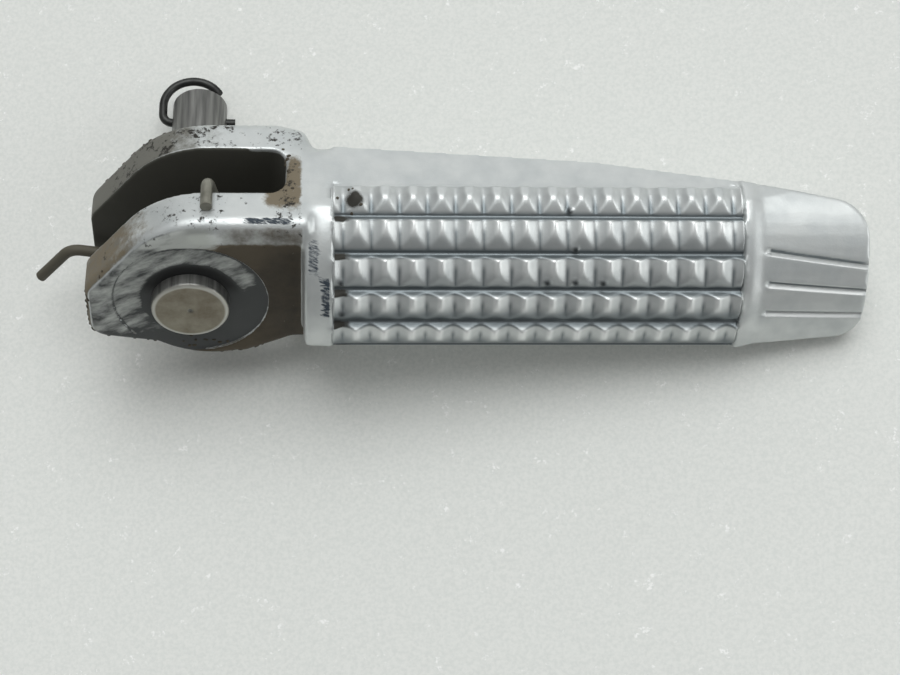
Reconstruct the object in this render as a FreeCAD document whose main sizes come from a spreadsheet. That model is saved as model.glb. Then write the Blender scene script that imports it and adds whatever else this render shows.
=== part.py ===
import FreeCAD, Part
import math
import os

import Sketcher
from FreeCAD import Placement, Rotation, Vector

# Folding rider's footpeg: one casting (clevis and tread bar), its pivot pin, return spring and ring clip.
# Millimetres. The origin is on the pin's axis, midway between the ears. +X runs out along the bar, +Z is up.
# Each piece is drawn in the pin's frame, X out, Y across (q) and Z along the pin (p), then leaned by pin_tilt.

SIZES = {
    # pivot pin
    "pin_tilt": 45,
    "pin_dia": 9,
    "pin_reach": 20.7,
    "pin_bevel": 0.6,
    "pin_clearance": 0.05,
    "head_dia": 12,
    "head_thick": 2.4,
    "head_bevel": 0.5,
    "head_clearance": 0.1,
    # clevis
    "slot_width": 9.1,
    "slot_end": 14.6,
    "slot_corner": 2.4,
    "far_ear": 6.3,
    "near_ear": 7.1,
    "ear_centre_x": 3,
    "ear_centre_q": 1.7,
    "heel_reach": 16.3,
    "heel_drop": 9,
    "heel_corner": 3.2,
    "belly_x": 8,
    "belly_drop": 13.2,
    "throat_drop": 9.5,
    "throat_rise": 3,
    "clevis_end": 18.6,
    "ear_edge": 2,
    "seat_dia": 24,
    "seat_depth": 0.5,
    # bar
    "peg_reach": 104.2,
    "collar_start": 17.4,
    "collar_round": 18.6,
    "flank": 17,
    "far_step": 5.3,
    "lip_drop": 3,
    "chin_q": 5.5,
    "chin_p": 14,
    "keel_q": 9,
    "keel_p": 2,
    "wall_q": 4,
    "taper_start": 19,
    "taper_knee": 62,
    "knee_far": 2.3,
    "tip_far": 5.1,
    "keel_root": 6.9,
    "keel_tip": 7,
    # tread
    "tread_start": 21.8,
    "tread_end": 84.3,
    "root_round": 17.9,
    "tooth_height": 1.35,
    "tooth_sink": 0.4,
    "row_count": 5,
    "row_pitch": 18.1,
    "row_lean": 3.5,
    "row_first": 9.4,
    "notch_count": 15,
    "notch_first": 23.3,
    "notch_pitch": 4.24,
    "notch_half": 1.75,
    # tip
    "tip_round": 18.1,
    "tip_end_round": 16.4,
    "tip_upper_root": 11,
    "tip_upper_end": 7.4,
    "tip_lower_root": 14.9,
    "tip_lower_end": 13.2,
    "tip_upper_corner": 6,
    "tip_lower_corner": 4,
    "groove_start": 2.6,
    "groove_depth": 0.7,
    "groove_spread": 2.4,
    "groove_count": 3,
    "groove_first": 44.6,
    "groove_pitch": 16.4,
    "groove_first_end": 52.1,
    "groove_pitch_end": 14.9,
    # return spring
    "spring_wire": 1.8,
    "spring_clearance": 1.5,
    "spring_pitch": 2,
    "spring_turns": 2,
    "hook_lean": 13,
    "hook_clearance": 0.1,
    "hook_length": 5.5,
    "hook_bend": 1.6,
    "leg_lean": 7,
    "leg_straight": 19.25,
    "leg_bend": 3,
    "leg_turn": 60,
    "leg_tail": 8.9,
    # ring clip
    "clip_wire": 1.4,
    "clip_clearance": 0.15,
    "clip_inset": 4.1,
    "clip_stub": 1.4,
    "clip_gap": 0.9,
    "clip_bend": 1.7,
    "clip_rise": 3.3,
    "clip_round": 4.95,
    "clip_lean": 13,
    "clip_stop": 30,
    # how far a cut runs past the solid
    "overcut": 30,
}

doc = FreeCAD.newDocument("footpeg")
sheet = doc.addObject("Spreadsheet::Sheet", "Sizes")
for row, (alias, number) in enumerate(SIZES.items(), start=1):
    sheet.set("A%d" % row, alias)
    sheet.set("B%d" % row, str(number))
    sheet.setAlias("B%d" % row, alias)
doc.recompute()


def size(alias):
    return float(sheet.get(alias))


# Places that several pieces share, as expressions on the sheet
NEAR_FACE = "(Sizes.slot_width / 2 + Sizes.near_ear)"
FAR_FACE = "(Sizes.slot_width / 2 + Sizes.far_ear)"
SEAT_FACE = "(%s - Sizes.seat_depth)" % NEAR_FACE
BAR_FAR = "(%s - Sizes.far_step)" % FAR_FACE
EAR_ROUND = "(Sizes.flank - Sizes.ear_centre_q)"
EAR_SPAN = "(Sizes.ear_centre_x + Sizes.heel_reach)"
PIN_END = "(%s + Sizes.pin_reach)" % FAR_FACE
CLIP_PLACE = "(%s - Sizes.clip_inset)" % PIN_END
CREST = "(Sizes.root_round + Sizes.tooth_height)"
PAST_TIP = "(Sizes.peg_reach + Sizes.overcut)"

near_face = size("slot_width") / 2 + size("near_ear")
far_face = size("slot_width") / 2 + size("far_ear")
pin_end = far_face + size("pin_reach")


# Sketches: every point is held by two expressions

def new_body(label):
    body = doc.addObject("PartDesign::Body", label)
    body.Label = label
    return body


def origin_part(body, role):
    return next(item for item in body.Origin.OriginFeatures if item.Role == role)


def new_sketch(body, name, plane, lift=None, turn=0):
    sketch = body.newObject("Sketcher::SketchObject", name)
    sketch.AttachmentSupport = (origin_part(body, plane), "")
    sketch.MapMode = "FlatFace"
    sketch.AttachmentOffset = Placement(Vector(), Rotation(Vector(1, 0, 0), turn))
    if lift:
        sketch.setExpression("AttachmentOffset.Base.z", lift)
    return sketch


def hold(sketch, expression, kind, *reference):
    index = sketch.addConstraint(Sketcher.Constraint(kind, *reference))
    sketch.setExpression("Constraints[%d]" % index, expression)


def hold_point(sketch, item, end, place, guess):
    hold(sketch, place[0], "DistanceX", -1, 1, item, end, guess.x)
    hold(sketch, place[1], "DistanceY", -1, 1, item, end, guess.y)


def add_loop(sketch, places):
    count = len(places)
    turns = [2 * math.pi * index / count for index in range(count)]
    guesses = [Vector(math.cos(turn), math.sin(turn), 0) * 10 for turn in turns]
    lines = []
    for index, guess in enumerate(guesses):
        lines.append(sketch.addGeometry(Part.LineSegment(guess, guesses[(index + 1) % count])))
    for index, line in enumerate(lines):
        sketch.addConstraint(Sketcher.Constraint("Coincident", line, 2, lines[(index + 1) % count], 1))
    for line, place, guess in zip(lines, places, guesses):
        hold_point(sketch, line, 1, place, guess)


def add_circle(sketch, place, diameter):
    guess = Vector(1, 1, 0)
    circle = sketch.addGeometry(Part.Circle(guess, Vector(0, 0, 1), 5))
    hold(sketch, diameter, "Diameter", circle, 10)
    hold_point(sketch, circle, 3, place, guess)


def polar(radius, angle):
    return ("%s * cos(%s)" % (radius, angle), "%s * sin(%s)" % (radius, angle))


# Features

def pad(body, sketch, length):
    feature = body.newObject("PartDesign::Pad", sketch.Name + "_pad")
    feature.Profile = sketch
    feature.setExpression("Length", length)
    return feature


def pocket(body, sketch, depth=None):
    feature = body.newObject("PartDesign::Pocket", sketch.Name + "_cut")
    feature.Profile = sketch
    if depth:
        feature.setExpression("Length", depth)
    else:
        feature.SideType = "Symmetric"
        feature.Type = "ThroughAll"
    return feature


def turned_cut(body, sketch):
    feature = body.newObject("PartDesign::Groove", sketch.Name + "_cut")
    feature.Profile = sketch
    feature.ReferenceAxis = (sketch, ["H_Axis"])
    feature.Angle = 360
    return feature


def round_edges(body, name, radius, chosen):
    doc.recompute()
    base = body.Tip
    names = ["Edge%d" % n for n, edge in enumerate(base.Shape.Edges, start=1) if chosen(edge)]
    feature = body.newObject("PartDesign::Fillet", name)
    feature.Base = (base, names)
    feature.setExpression("Radius", radius)
    return feature


def near(value, target):
    return abs(value - target) < 1e-4


def upright_at(edge, across, up):
    # an edge along the pin, at one place of the ear's outline
    ends = [vertex.Point for vertex in edge.Vertexes]
    return all(near(end.x, across) and near(end.y, up) for end in ends)


# Straight runs joined by tangent arcs

def bent_runs(points, bends):
    edges = []
    start = points[0]
    for before, corner, after, radius in zip(points, points[1:], points[2:], bends):
        inward = (corner - before).normalize()
        outward = (after - corner).normalize()
        turn = inward.getAngle(outward)
        reach = radius * math.tan(turn / 2)
        bisector = (outward - inward).normalize()
        centre = corner + bisector * (radius / math.cos(turn / 2))
        first = corner - inward * reach
        last = corner + outward * reach
        edges.append(Part.LineSegment(start, first).toShape())
        edges.append(Part.Arc(first, centre - bisector * radius, last).toShape())
        start = last
    edges.append(Part.LineSegment(start, points[-1]).toShape())
    return edges


# The casting

casting = new_body("footpeg_bar")
tilt = size("pin_tilt")


def build_ears():
    outline = new_sketch(casting, "ear_outline", "XY_Plane", "-%s" % FAR_FACE)
    add_loop(outline, [
        ("-Sizes.heel_reach", "Sizes.ear_centre_q"),
        ("-Sizes.heel_reach", "-Sizes.heel_drop"),
        ("Sizes.belly_x", "-Sizes.belly_drop"),
        ("Sizes.clevis_end - Sizes.throat_rise", "-Sizes.throat_drop"),
        ("Sizes.clevis_end", "-Sizes.throat_drop"),
        ("Sizes.clevis_end", "Sizes.flank"),
        ("Sizes.ear_centre_x", "Sizes.flank"),
        ("Sizes.ear_centre_x", "Sizes.ear_centre_q"),
        # where a line from the heel's upper corner touches the ear's round
        ("Sizes.ear_centre_x - %s ^ 2 / %s" % (EAR_ROUND, EAR_SPAN),
         "Sizes.ear_centre_q + %s * sqrt(1 - (%s / %s) ^ 2)" % (EAR_ROUND, EAR_ROUND, EAR_SPAN)),
    ])
    width = "%s + %s" % (NEAR_FACE, FAR_FACE)
    pad(casting, outline, width)
    shoulder = new_sketch(casting, "ear_shoulder", "XY_Plane", "-%s" % FAR_FACE)
    add_circle(shoulder, ("Sizes.ear_centre_x", "Sizes.ear_centre_q"), "2 * %s" % EAR_ROUND)
    pad(casting, shoulder, width)
    round_edges(casting, "heel_corners", "Sizes.heel_corner",
                lambda edge: upright_at(edge, -size("heel_reach"), -size("heel_drop"))
                or upright_at(edge, -size("heel_reach"), size("ear_centre_q")))
    round_edges(casting, "ear_edges", "Sizes.ear_edge", on_ear_face)


def on_ear_face(edge):
    box = edge.BoundBox
    flat = near(box.ZLength, 0) and (near(box.ZMin, near_face) or near(box.ZMin, -far_face))
    return flat and not near(box.XMin, size("clevis_end"))


def build_slot():
    slot = new_sketch(casting, "slot", "XZ_Plane")
    half = "Sizes.slot_width / 2"
    back = "-Sizes.heel_reach - Sizes.overcut"
    add_loop(slot, [
        (back, "-" + half),
        ("Sizes.slot_end", "-" + half),
        ("Sizes.slot_end", half),
        (back, half),
    ])
    pocket(casting, slot)
    round_edges(casting, "slot_corners", "Sizes.slot_corner", at_slot_end)
    bore = new_sketch(casting, "bore", "XY_Plane")
    add_circle(bore, ("0", "0"), "Sizes.pin_dia + 2 * Sizes.pin_clearance")
    pocket(casting, bore)
    seat = new_sketch(casting, "head_seat", "XY_Plane", NEAR_FACE)
    add_circle(seat, ("0", "0"), "Sizes.seat_dia")
    pocket(casting, seat, "Sizes.seat_depth")


def at_slot_end(edge):
    box = edge.BoundBox
    upright = near(box.XLength, 0) and near(box.ZLength, 0)
    return upright and near(box.XMin, size("slot_end")) and near(abs(box.ZMin), size("slot_width") / 2)


def build_bar():
    section = new_sketch(casting, "bar_section", "YZ_Plane", "Sizes.collar_start")
    radius = size("collar_round")
    start = math.acos(size("flank") / radius)
    stop = math.acos(-size("lip_drop") / radius)
    arc = section.addGeometry(Part.ArcOfCircle(Part.Circle(Vector(), Vector(0, 0, 1), radius), start, stop))
    section.addConstraint(Sketcher.Constraint("Coincident", arc, 3, -1, 1))
    hold(section, "Sizes.collar_round", "Radius", arc, radius)
    hold(section, "Sizes.flank", "DistanceX", -1, 1, arc, 1, size("flank"))
    hold(section, "-Sizes.lip_drop", "DistanceX", -1, 1, arc, 2, -size("lip_drop"))
    places = [
        ("-Sizes.chin_q", "Sizes.chin_p"),
        ("-Sizes.keel_q", "Sizes.keel_p"),
        ("-Sizes.wall_q", "-%s" % BAR_FAR),
        ("Sizes.flank", "-%s" % BAR_FAR),
    ]
    lip = Vector(math.cos(stop), math.sin(stop), 0) * radius
    edge = Vector(math.cos(start), math.sin(start), 0) * radius
    guesses = [lip, Vector(-5, 12, 0), Vector(-9, 0, 0), Vector(-3, -6, 0), Vector(15, -6, 0), edge]
    lines = [section.addGeometry(Part.LineSegment(a, b)) for a, b in zip(guesses, guesses[1:])]
    section.addConstraint(Sketcher.Constraint("Coincident", arc, 2, lines[0], 1))
    section.addConstraint(Sketcher.Constraint("Coincident", lines[-1], 2, arc, 1))
    for line, following, place, guess in zip(lines, lines[1:], places, guesses[1:]):
        section.addConstraint(Sketcher.Constraint("Coincident", line, 2, following, 1))
        hold_point(section, following, 1, place, guess)
    pad(casting, section, "Sizes.peg_reach - Sizes.collar_start")


def build_taper():
    far_side = new_sketch(casting, "far_taper", "XZ_Plane")
    add_loop(far_side, [
        ("Sizes.taper_start", "-%s" % BAR_FAR),
        ("Sizes.taper_start", "-%s - Sizes.overcut" % BAR_FAR),
        ("Sizes.peg_reach", "-%s - Sizes.overcut" % BAR_FAR),
        ("Sizes.peg_reach", "Sizes.tip_far"),
        ("Sizes.taper_knee", "-Sizes.knee_far"),
    ])
    pocket(casting, far_side)
    keel = new_sketch(casting, "keel_taper", "XZ_Plane", turn=-tilt)
    add_loop(keel, [
        ("Sizes.taper_start", "-Sizes.keel_root"),
        ("Sizes.taper_start", "-Sizes.keel_root - Sizes.overcut"),
        ("Sizes.peg_reach", "-Sizes.keel_root - Sizes.overcut"),
        ("Sizes.peg_reach", "Sizes.keel_tip"),
    ])
    pocket(casting, keel)


def build_tread():
    recess = new_sketch(casting, "tread_recess", "XZ_Plane")
    add_loop(recess, [
        ("Sizes.tread_start", "Sizes.root_round"),
        ("Sizes.tread_end", "Sizes.root_round"),
        ("Sizes.tread_end", "Sizes.root_round + Sizes.overcut"),
        ("Sizes.tread_start", "Sizes.root_round + Sizes.overcut"),
    ])
    turned_cut(casting, recess)
    ridge = new_sketch(casting, "tooth_ridge", "YZ_Plane", "Sizes.tread_start")
    foot = "(Sizes.root_round - Sizes.tooth_sink)"
    add_loop(ridge, [
        polar(foot, "Sizes.row_first"),
        polar(foot, "Sizes.row_first + Sizes.row_pitch"),
        polar(CREST, "Sizes.row_first + Sizes.row_lean"),
    ])
    first_row = pad(casting, ridge, "Sizes.tread_end - Sizes.tread_start")
    rows = casting.newObject("PartDesign::PolarPattern", "tooth_rows")
    rows.Originals = [first_row]
    rows.Axis = (origin_part(casting, "X_Axis"), [""])
    rows.Mode = "Spacing"
    rows.setExpression("Offset", "Sizes.row_pitch")
    rows.setExpression("Occurrences", "Sizes.row_count")
    casting.Tip = rows
    notch = new_sketch(casting, "tooth_notch", "XZ_Plane")
    slope = "Sizes.notch_half * (1 + Sizes.tooth_height / Sizes.root_round)"
    brim = "%s + Sizes.tooth_height * Sizes.tooth_height / Sizes.root_round" % CREST
    add_loop(notch, [
        ("Sizes.notch_first", "Sizes.root_round"),
        ("Sizes.notch_first + " + slope, brim),
        ("Sizes.notch_first - " + slope, brim),
    ])
    first_notch = turned_cut(casting, notch)
    notches = casting.newObject("PartDesign::LinearPattern", "tooth_notches")
    notches.Originals = [first_notch]
    notches.Direction = (origin_part(casting, "X_Axis"), [""])
    notches.Mode = "Spacing"
    notches.setExpression("Offset", "Sizes.notch_pitch")
    notches.setExpression("Occurrences", "Sizes.notch_count")
    casting.Tip = notches
    trim = new_sketch(casting, "flank_trim", "XY_Plane")
    add_loop(trim, [
        ("Sizes.collar_start", "Sizes.flank"),
        (PAST_TIP, "Sizes.flank"),
        (PAST_TIP, "Sizes.flank + Sizes.overcut"),
        ("Sizes.collar_start", "Sizes.flank + Sizes.overcut"),
    ])
    pocket(casting, trim)


def build_tip():
    cone = new_sketch(casting, "tip_cone", "XZ_Plane")
    add_loop(cone, [
        ("Sizes.tread_end", "Sizes.tip_round"),
        ("Sizes.peg_reach", "Sizes.tip_end_round"),
        ("Sizes.peg_reach", "Sizes.tip_round + Sizes.overcut"),
        ("Sizes.tread_end", "Sizes.tip_round + Sizes.overcut"),
    ])
    turned_cut(casting, cone)
    plan = new_sketch(casting, "tip_plan", "XY_Plane", turn=-tilt)
    add_tip_outline(plan)
    pocket(casting, plan)
    for index in range(int(size("groove_count"))):
        build_tip_groove(index)


def add_tip_outline(plan):
    # the bar's end in plan: upper edge, end and lower edge with a tangent arc between each two
    corner_places = [
        ("Sizes.tread_end", "Sizes.tip_upper_root"),
        ("Sizes.peg_reach", "Sizes.tip_upper_end"),
        ("Sizes.peg_reach", "-Sizes.tip_lower_end"),
        ("Sizes.tread_end", "-Sizes.tip_lower_root"),
    ]
    corners = [
        Vector(size("tread_end"), size("tip_upper_root"), 0),
        Vector(size("peg_reach"), size("tip_upper_end"), 0),
        Vector(size("peg_reach"), -size("tip_lower_end"), 0),
        Vector(size("tread_end"), -size("tip_lower_root"), 0),
    ]
    rounds = ["tip_upper_corner", "tip_lower_corner"]
    edges = bent_runs(corners, [size(alias) for alias in rounds])
    items = [plan.addGeometry(as_sketch_curve(edge)) for edge in edges]
    hold_point(plan, items[0], 1, corner_places[0], corners[0])
    hold_point(plan, items[-1], 2, corner_places[-1], corners[-1])
    for index, alias in enumerate(rounds):
        before, arc, after = items[2 * index:2 * index + 3]
        plan.addConstraint(Sketcher.Constraint("Tangent", before, 2, arc, 2))
        plan.addConstraint(Sketcher.Constraint("Tangent", arc, 1, after, 1))
        hold(plan, "Sizes." + alias, "Radius", arc, size(alias))
        corner = plan.addGeometry(Part.Point(corners[index + 1]), True)
        hold_point(plan, corner, 1, corner_places[index + 1], corners[index + 1])
        plan.addConstraint(Sketcher.Constraint("PointOnObject", corner, 1, before))
        plan.addConstraint(Sketcher.Constraint("PointOnObject", corner, 1, after))
    outer_places = [
        ("Sizes.tread_end", "-Sizes.tip_lower_root - Sizes.overcut"),
        (PAST_TIP, "-Sizes.tip_lower_root - Sizes.overcut"),
        (PAST_TIP, "Sizes.tip_upper_root + Sizes.overcut"),
        ("Sizes.tread_end", "Sizes.tip_upper_root + Sizes.overcut"),
    ]
    far = size("overcut")
    outer = [corners[-1] + Vector(0, -far, 0), corners[-1] + Vector(2 * far, -far, 0),
             corners[0] + Vector(2 * far, far, 0), corners[0] + Vector(0, far, 0)]
    path = [corners[-1]] + outer + [corners[0]]
    lines = [plan.addGeometry(Part.LineSegment(a, b)) for a, b in zip(path, path[1:])]
    plan.addConstraint(Sketcher.Constraint("Coincident", items[-1], 2, lines[0], 1))
    plan.addConstraint(Sketcher.Constraint("Coincident", lines[-1], 2, items[0], 1))
    for line, following, place, guess in zip(lines, lines[1:], outer_places, outer):
        plan.addConstraint(Sketcher.Constraint("Coincident", line, 2, following, 1))
        hold_point(plan, following, 1, place, guess)


def as_sketch_curve(edge):
    ends = [vertex.Point for vertex in edge.Vertexes]
    if isinstance(edge.Curve, Part.Line):
        return Part.LineSegment(ends[0], ends[1])
    centre = edge.Curve.Center
    turns = [math.atan2(end.y - centre.y, end.x - centre.x) for end in ends]
    return Part.ArcOfCircle(Part.Circle(centre, Vector(0, 0, 1), edge.Curve.Radius), min(turns), max(turns))


def build_tip_groove(index):
    floors = []
    stations = (
        ("root", "Sizes.tread_end + Sizes.groove_start", "Sizes.tip_round",
         "Sizes.groove_first + %d * Sizes.groove_pitch" % index),
        ("end", "Sizes.peg_reach", "Sizes.tip_end_round",
         "Sizes.groove_first_end + %d * Sizes.groove_pitch_end" % index),
    )
    for name, lift, radius, angle in stations:
        section = new_sketch(casting, "groove_%s_%d" % (name, index), "YZ_Plane", lift)
        brim = "(%s + Sizes.groove_depth)" % radius
        add_loop(section, [
            polar("(%s - Sizes.groove_depth)" % radius, angle),
            polar(brim, angle + " + Sizes.groove_spread"),
            polar(brim, angle + " - Sizes.groove_spread"),
        ])
        floors.append(section)
    groove = casting.newObject("PartDesign::SubtractiveLoft", "tip_groove_%d" % index)
    groove.Profile = floors[0]
    groove.Sections = floors[1:]
    groove.Ruled = True


build_ears()
build_slot()
build_bar()
build_taper()
build_tread()
build_tip()


# The pivot pin, turned, with a cross hole for the clip

pin = new_body("pivot_pin")


def build_pin():
    profile = new_sketch(pin, "pin_profile", "XZ_Plane")
    shank = "Sizes.pin_dia / 2"
    brim = "Sizes.head_dia / 2"
    under = "(%s + Sizes.head_clearance)" % SEAT_FACE
    add_loop(profile, [
        ("0", "-%s" % PIN_END),
        (shank + " - Sizes.pin_bevel", "-%s" % PIN_END),
        (shank, "-%s + Sizes.pin_bevel" % PIN_END),
        (shank, under),
        (brim, under),
        (brim, "%s + Sizes.head_thick - Sizes.head_bevel" % under),
        (brim + " - Sizes.head_bevel", "%s + Sizes.head_thick" % under),
        ("0", "%s + Sizes.head_thick" % under),
    ])
    turned = pin.newObject("PartDesign::Revolution", "pin_turned")
    turned.Profile = profile
    turned.ReferenceAxis = (profile, ["V_Axis"])
    turned.Angle = 360
    hole = new_sketch(pin, "clip_hole", "YZ_Plane")
    add_circle(hole, ("0", "-%s" % CLIP_PLACE), "Sizes.clip_wire + 2 * Sizes.clip_clearance")
    pocket(pin, hole)


build_pin()


# Bent wire

def wire_solid(edges, diameter):
    first = edges[0]
    start = first.valueAt(first.FirstParameter)
    ahead = first.tangentAt(first.FirstParameter)
    section = Part.Wire([Part.Circle(start, ahead, diameter / 2).toShape()])
    return Part.Wire(edges).makePipeShell([section], True, True)


def add_wire_piece(label, shape):
    piece = doc.addObject("Part::Feature", label)
    piece.Label = label
    piece.Shape = shape
    return piece


def build_spring():
    wire = size("spring_wire")
    radius = size("pin_dia") / 2 + size("spring_clearance") + wire / 2
    pitch = size("spring_pitch")
    first = -90 - size("leg_lean")
    last = size("hook_lean") + 360 * size("spring_turns")
    height = pitch * (last - first) / 360
    helix = Part.makeHelix(pitch, height, radius)
    helix.rotate(Vector(), Vector(0, 0, 1), first)
    helix.translate(Vector(0, 0, -height / 2))
    coil = helix.Edges
    slope = pitch / (2 * math.pi * radius)

    def on_coil(angle, level):
        around = math.radians(angle)
        place = Vector(radius * math.cos(around), radius * math.sin(around), level)
        ahead = Vector(-math.sin(around), math.cos(around), slope).normalize()
        return place, ahead

    leg_root, ahead = on_coil(first, -height / 2)
    leg_corner = leg_root - ahead * size("leg_straight")
    leg_end = leg_corner + Rotation(Vector(0, 0, 1), size("leg_turn")).multVec(-ahead) * size("leg_tail")
    leg = bent_runs([leg_end, leg_corner, leg_root], [size("leg_bend")])
    hook_root, ahead = on_coil(last, height / 2)
    rest = size("flank") + size("hook_clearance") + wire / 2
    hook_corner = hook_root + ahead * ((rest - hook_root.y) / ahead.y)
    hook_end = hook_corner + Vector(0, 0, size("hook_length"))
    hook = bent_runs([hook_root, hook_corner, hook_end], [size("hook_bend")])
    return wire_solid(leg + coil + hook, wire)


def build_clip():
    wire = size("clip_wire")
    level = -(pin_end - size("clip_inset"))
    lean = math.radians(size("clip_lean"))
    rise = Vector(0, math.sin(lean), -math.cos(lean))
    side = size("pin_dia") / 2 + size("clip_gap") + wire / 2

    def place(across, up):
        return Vector(across, 0, level) + rise * up

    stub = place(size("pin_dia") / 2 + size("clip_stub"), 0)
    loop_root = place(-side, size("clip_rise"))
    leg = bent_runs([stub, place(-side, 0), loop_root], [size("clip_bend")])
    radius = size("clip_round")
    stop = size("clip_stop")

    def on_loop(angle):
        around = math.radians(angle)
        return place(radius - side + radius * math.cos(around), size("clip_rise") + radius * math.sin(around))

    loop = Part.Arc(loop_root, on_loop((180 + stop) / 2), on_loop(stop)).toShape()
    return wire_solid(leg + [loop], wire)


pieces = [
    casting,
    pin,
    add_wire_piece("return_spring", build_spring()),
    add_wire_piece("ring_clip", build_clip()),
]
for piece in pieces:
    piece.Placement = Placement(Vector(), Rotation(Vector(1, 0, 0), tilt))
doc.recompute()

# Every feature is sound and every cut has cut before anything is written
for item in doc.Objects:
    if "Invalid" in item.State or "Error" in item.State:
        raise RuntimeError("failed: " + item.Name)
for body in (casting, pin):
    for item in body.Group:
        cuts = item.isDerivedFrom("PartDesign::Pocket") or item.isDerivedFrom("PartDesign::Groove")
        if cuts and item.Shape.Volume > item.BaseFeature.Shape.Volume - 0.01:
            raise RuntimeError("cuts nothing: " + item.Name)
for piece in pieces:
    if piece.Shape.isNull() or not piece.Shape.isValid() or len(piece.Shape.Solids) != 1:
        raise RuntimeError("bad shape: " + piece.Label)

os.makedirs("parts", exist_ok=True)
for piece in pieces:
    piece.Shape.exportStep("parts/%s.step" % piece.Label)
    box = piece.Shape.BoundBox
    print(piece.Label, round(piece.Shape.Volume, 1), [round(v, 2) for v in (
        box.XMin, box.XMax, box.YMin, box.YMax, box.ZMin, box.ZMax)])
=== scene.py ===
import math
from contextlib import contextmanager
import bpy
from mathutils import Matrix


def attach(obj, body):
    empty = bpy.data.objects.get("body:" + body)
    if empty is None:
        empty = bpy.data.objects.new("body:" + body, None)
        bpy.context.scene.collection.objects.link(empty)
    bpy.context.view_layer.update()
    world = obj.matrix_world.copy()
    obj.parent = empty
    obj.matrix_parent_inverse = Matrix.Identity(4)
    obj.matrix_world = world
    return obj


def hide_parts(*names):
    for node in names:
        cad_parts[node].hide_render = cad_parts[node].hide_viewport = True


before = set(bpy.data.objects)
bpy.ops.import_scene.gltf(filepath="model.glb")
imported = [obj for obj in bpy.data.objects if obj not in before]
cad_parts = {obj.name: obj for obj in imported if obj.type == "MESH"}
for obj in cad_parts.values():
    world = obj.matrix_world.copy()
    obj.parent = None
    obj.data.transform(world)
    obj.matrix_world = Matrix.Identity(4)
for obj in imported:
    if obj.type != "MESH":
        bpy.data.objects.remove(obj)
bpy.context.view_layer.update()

from types import SimpleNamespace

import bmesh
import bpy
import numpy as np
from mathutils import Matrix, Vector
from mathutils.kdtree import KDTree

scene = bpy.context.scene
scene.view_settings.view_transform = "Standard"
mm = 0.001

# the pin leans over; pin-frame places are x out, q across the ears and p along the pin, in millimetres
pinTilt = math.radians(45)
leanTurn = Matrix.Rotation(pinTilt, 3, "X")


def pinPlace(x, q, p):
    return leanTurn @ Vector((x, q, p)) * mm


def pinCoords(coords):
    x, y, z = (coords / mm).T
    q = y * math.cos(pinTilt) + z * math.sin(pinTilt)
    p = z * math.cos(pinTilt) - y * math.sin(pinTilt)
    return x, q, p


def barCoords(coords):
    # pin-frame places, then the angle and the distance round the bar's axis
    x, q, p = pinCoords(coords)
    return x, q, p, np.degrees(np.arctan2(p, q)), np.hypot(q, p)


def ramp(value, low, high):
    share = np.clip((value - low) / (high - low), 0, 1)
    return share * share * (3 - 2 * share)


def band(value, low, high, soft):
    return ramp(value, low - soft, low + soft) * (1 - ramp(value, high - soft, high + soft))


# mesh helpers

def newObject(name, data):
    made = bpy.data.objects.new(name, data)
    scene.collection.objects.link(made)
    return made


def addPiece(name, mesh, body, slot, *nodes):
    piece = newObject(name, mesh)
    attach(piece, body)
    if nodes:
        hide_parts(*nodes)
    return piece


def readArray(items, field, width, kind=float):
    values = np.empty(len(items) * width, dtype=kind)
    items.foreach_get(field, values)
    return values.reshape(-1, width)


def readCoords(mesh):
    return readArray(mesh.vertices, "co", 3)


def readNormals(mesh):
    return readArray(mesh.vertices, "normal", 3)


def readEdges(mesh):
    return readArray(mesh.edges, "vertices", 2, np.int64)


def writeCoords(mesh, coords):
    mesh.vertices.foreach_set("co", coords.ravel())
    mesh.update()


def neighbourMean(values, edges, counts):
    total = np.zeros_like(values)
    for axis in range(values.shape[1]):
        total[:, axis] = np.bincount(edges[:, 0], values[edges[:, 1], axis], len(values))
        total[:, axis] += np.bincount(edges[:, 1], values[edges[:, 0], axis], len(values))
    return total / counts[:, None]


def relax(coords, edges, weight, rounds):
    counts = np.bincount(edges.ravel(), minlength=len(coords)).astype(float)
    counts[counts == 0] = 1
    for turn in range(rounds):
        coords = coords + (neighbourMean(coords, edges, counts) - coords) * weight[:, None]
    return coords


def nearestPlaces(source, wanted):
    tree = KDTree(len(source))
    for index, spot in enumerate(source):
        tree.insert(spot, index)
    tree.balance()
    return np.array([tree.find(spot)[1] for spot in wanted])


def paint(mesh, name, values):
    layer = mesh.attributes.new(name, "FLOAT", "POINT")
    layer.data.foreach_set("value", np.asarray(values, dtype=np.float32))


@contextmanager
def editing(mesh):
    work = bmesh.new()
    work.from_mesh(mesh)
    yield work
    work.to_mesh(mesh)
    work.free()


def plainMesh(holder):
    # what the holder's modifier makes, as a mesh of its own
    result = bpy.data.meshes.new_from_object(holder.evaluated_get(bpy.context.evaluated_depsgraph_get()))
    bpy.data.objects.remove(holder)
    return result


def modified(mesh, kind, **settings):
    holder = newObject("holder", mesh)
    made = holder.modifiers.new("step", kind)
    for key, value in settings.items():
        setattr(made, key, value)
    return plainMesh(holder)


def smoothByAngle(mesh, degrees):
    with editing(mesh) as work:
        for face in work.faces:
            face.smooth = True
        for edge in work.edges:
            edge.smooth = len(edge.link_faces) != 2 or edge.calc_face_angle() < math.radians(degrees)


# node helpers

def addNode(tree, kind, inputs=None, **settings):
    made = tree.nodes.new(kind)
    for key, value in settings.items():
        setattr(made, key, value)
    for key, value in (inputs or {}).items():
        if isinstance(value, bpy.types.NodeSocket):
            tree.links.new(value, made.inputs[key])
        else:
            made.inputs[key].default_value = value
    return made


def mathNode(tree, operation, first, second=0.0, clamp=False):
    made = addNode(tree, "ShaderNodeMath", {0: first, 1: second}, operation=operation, use_clamp=clamp)
    return made.outputs[0]


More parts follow.
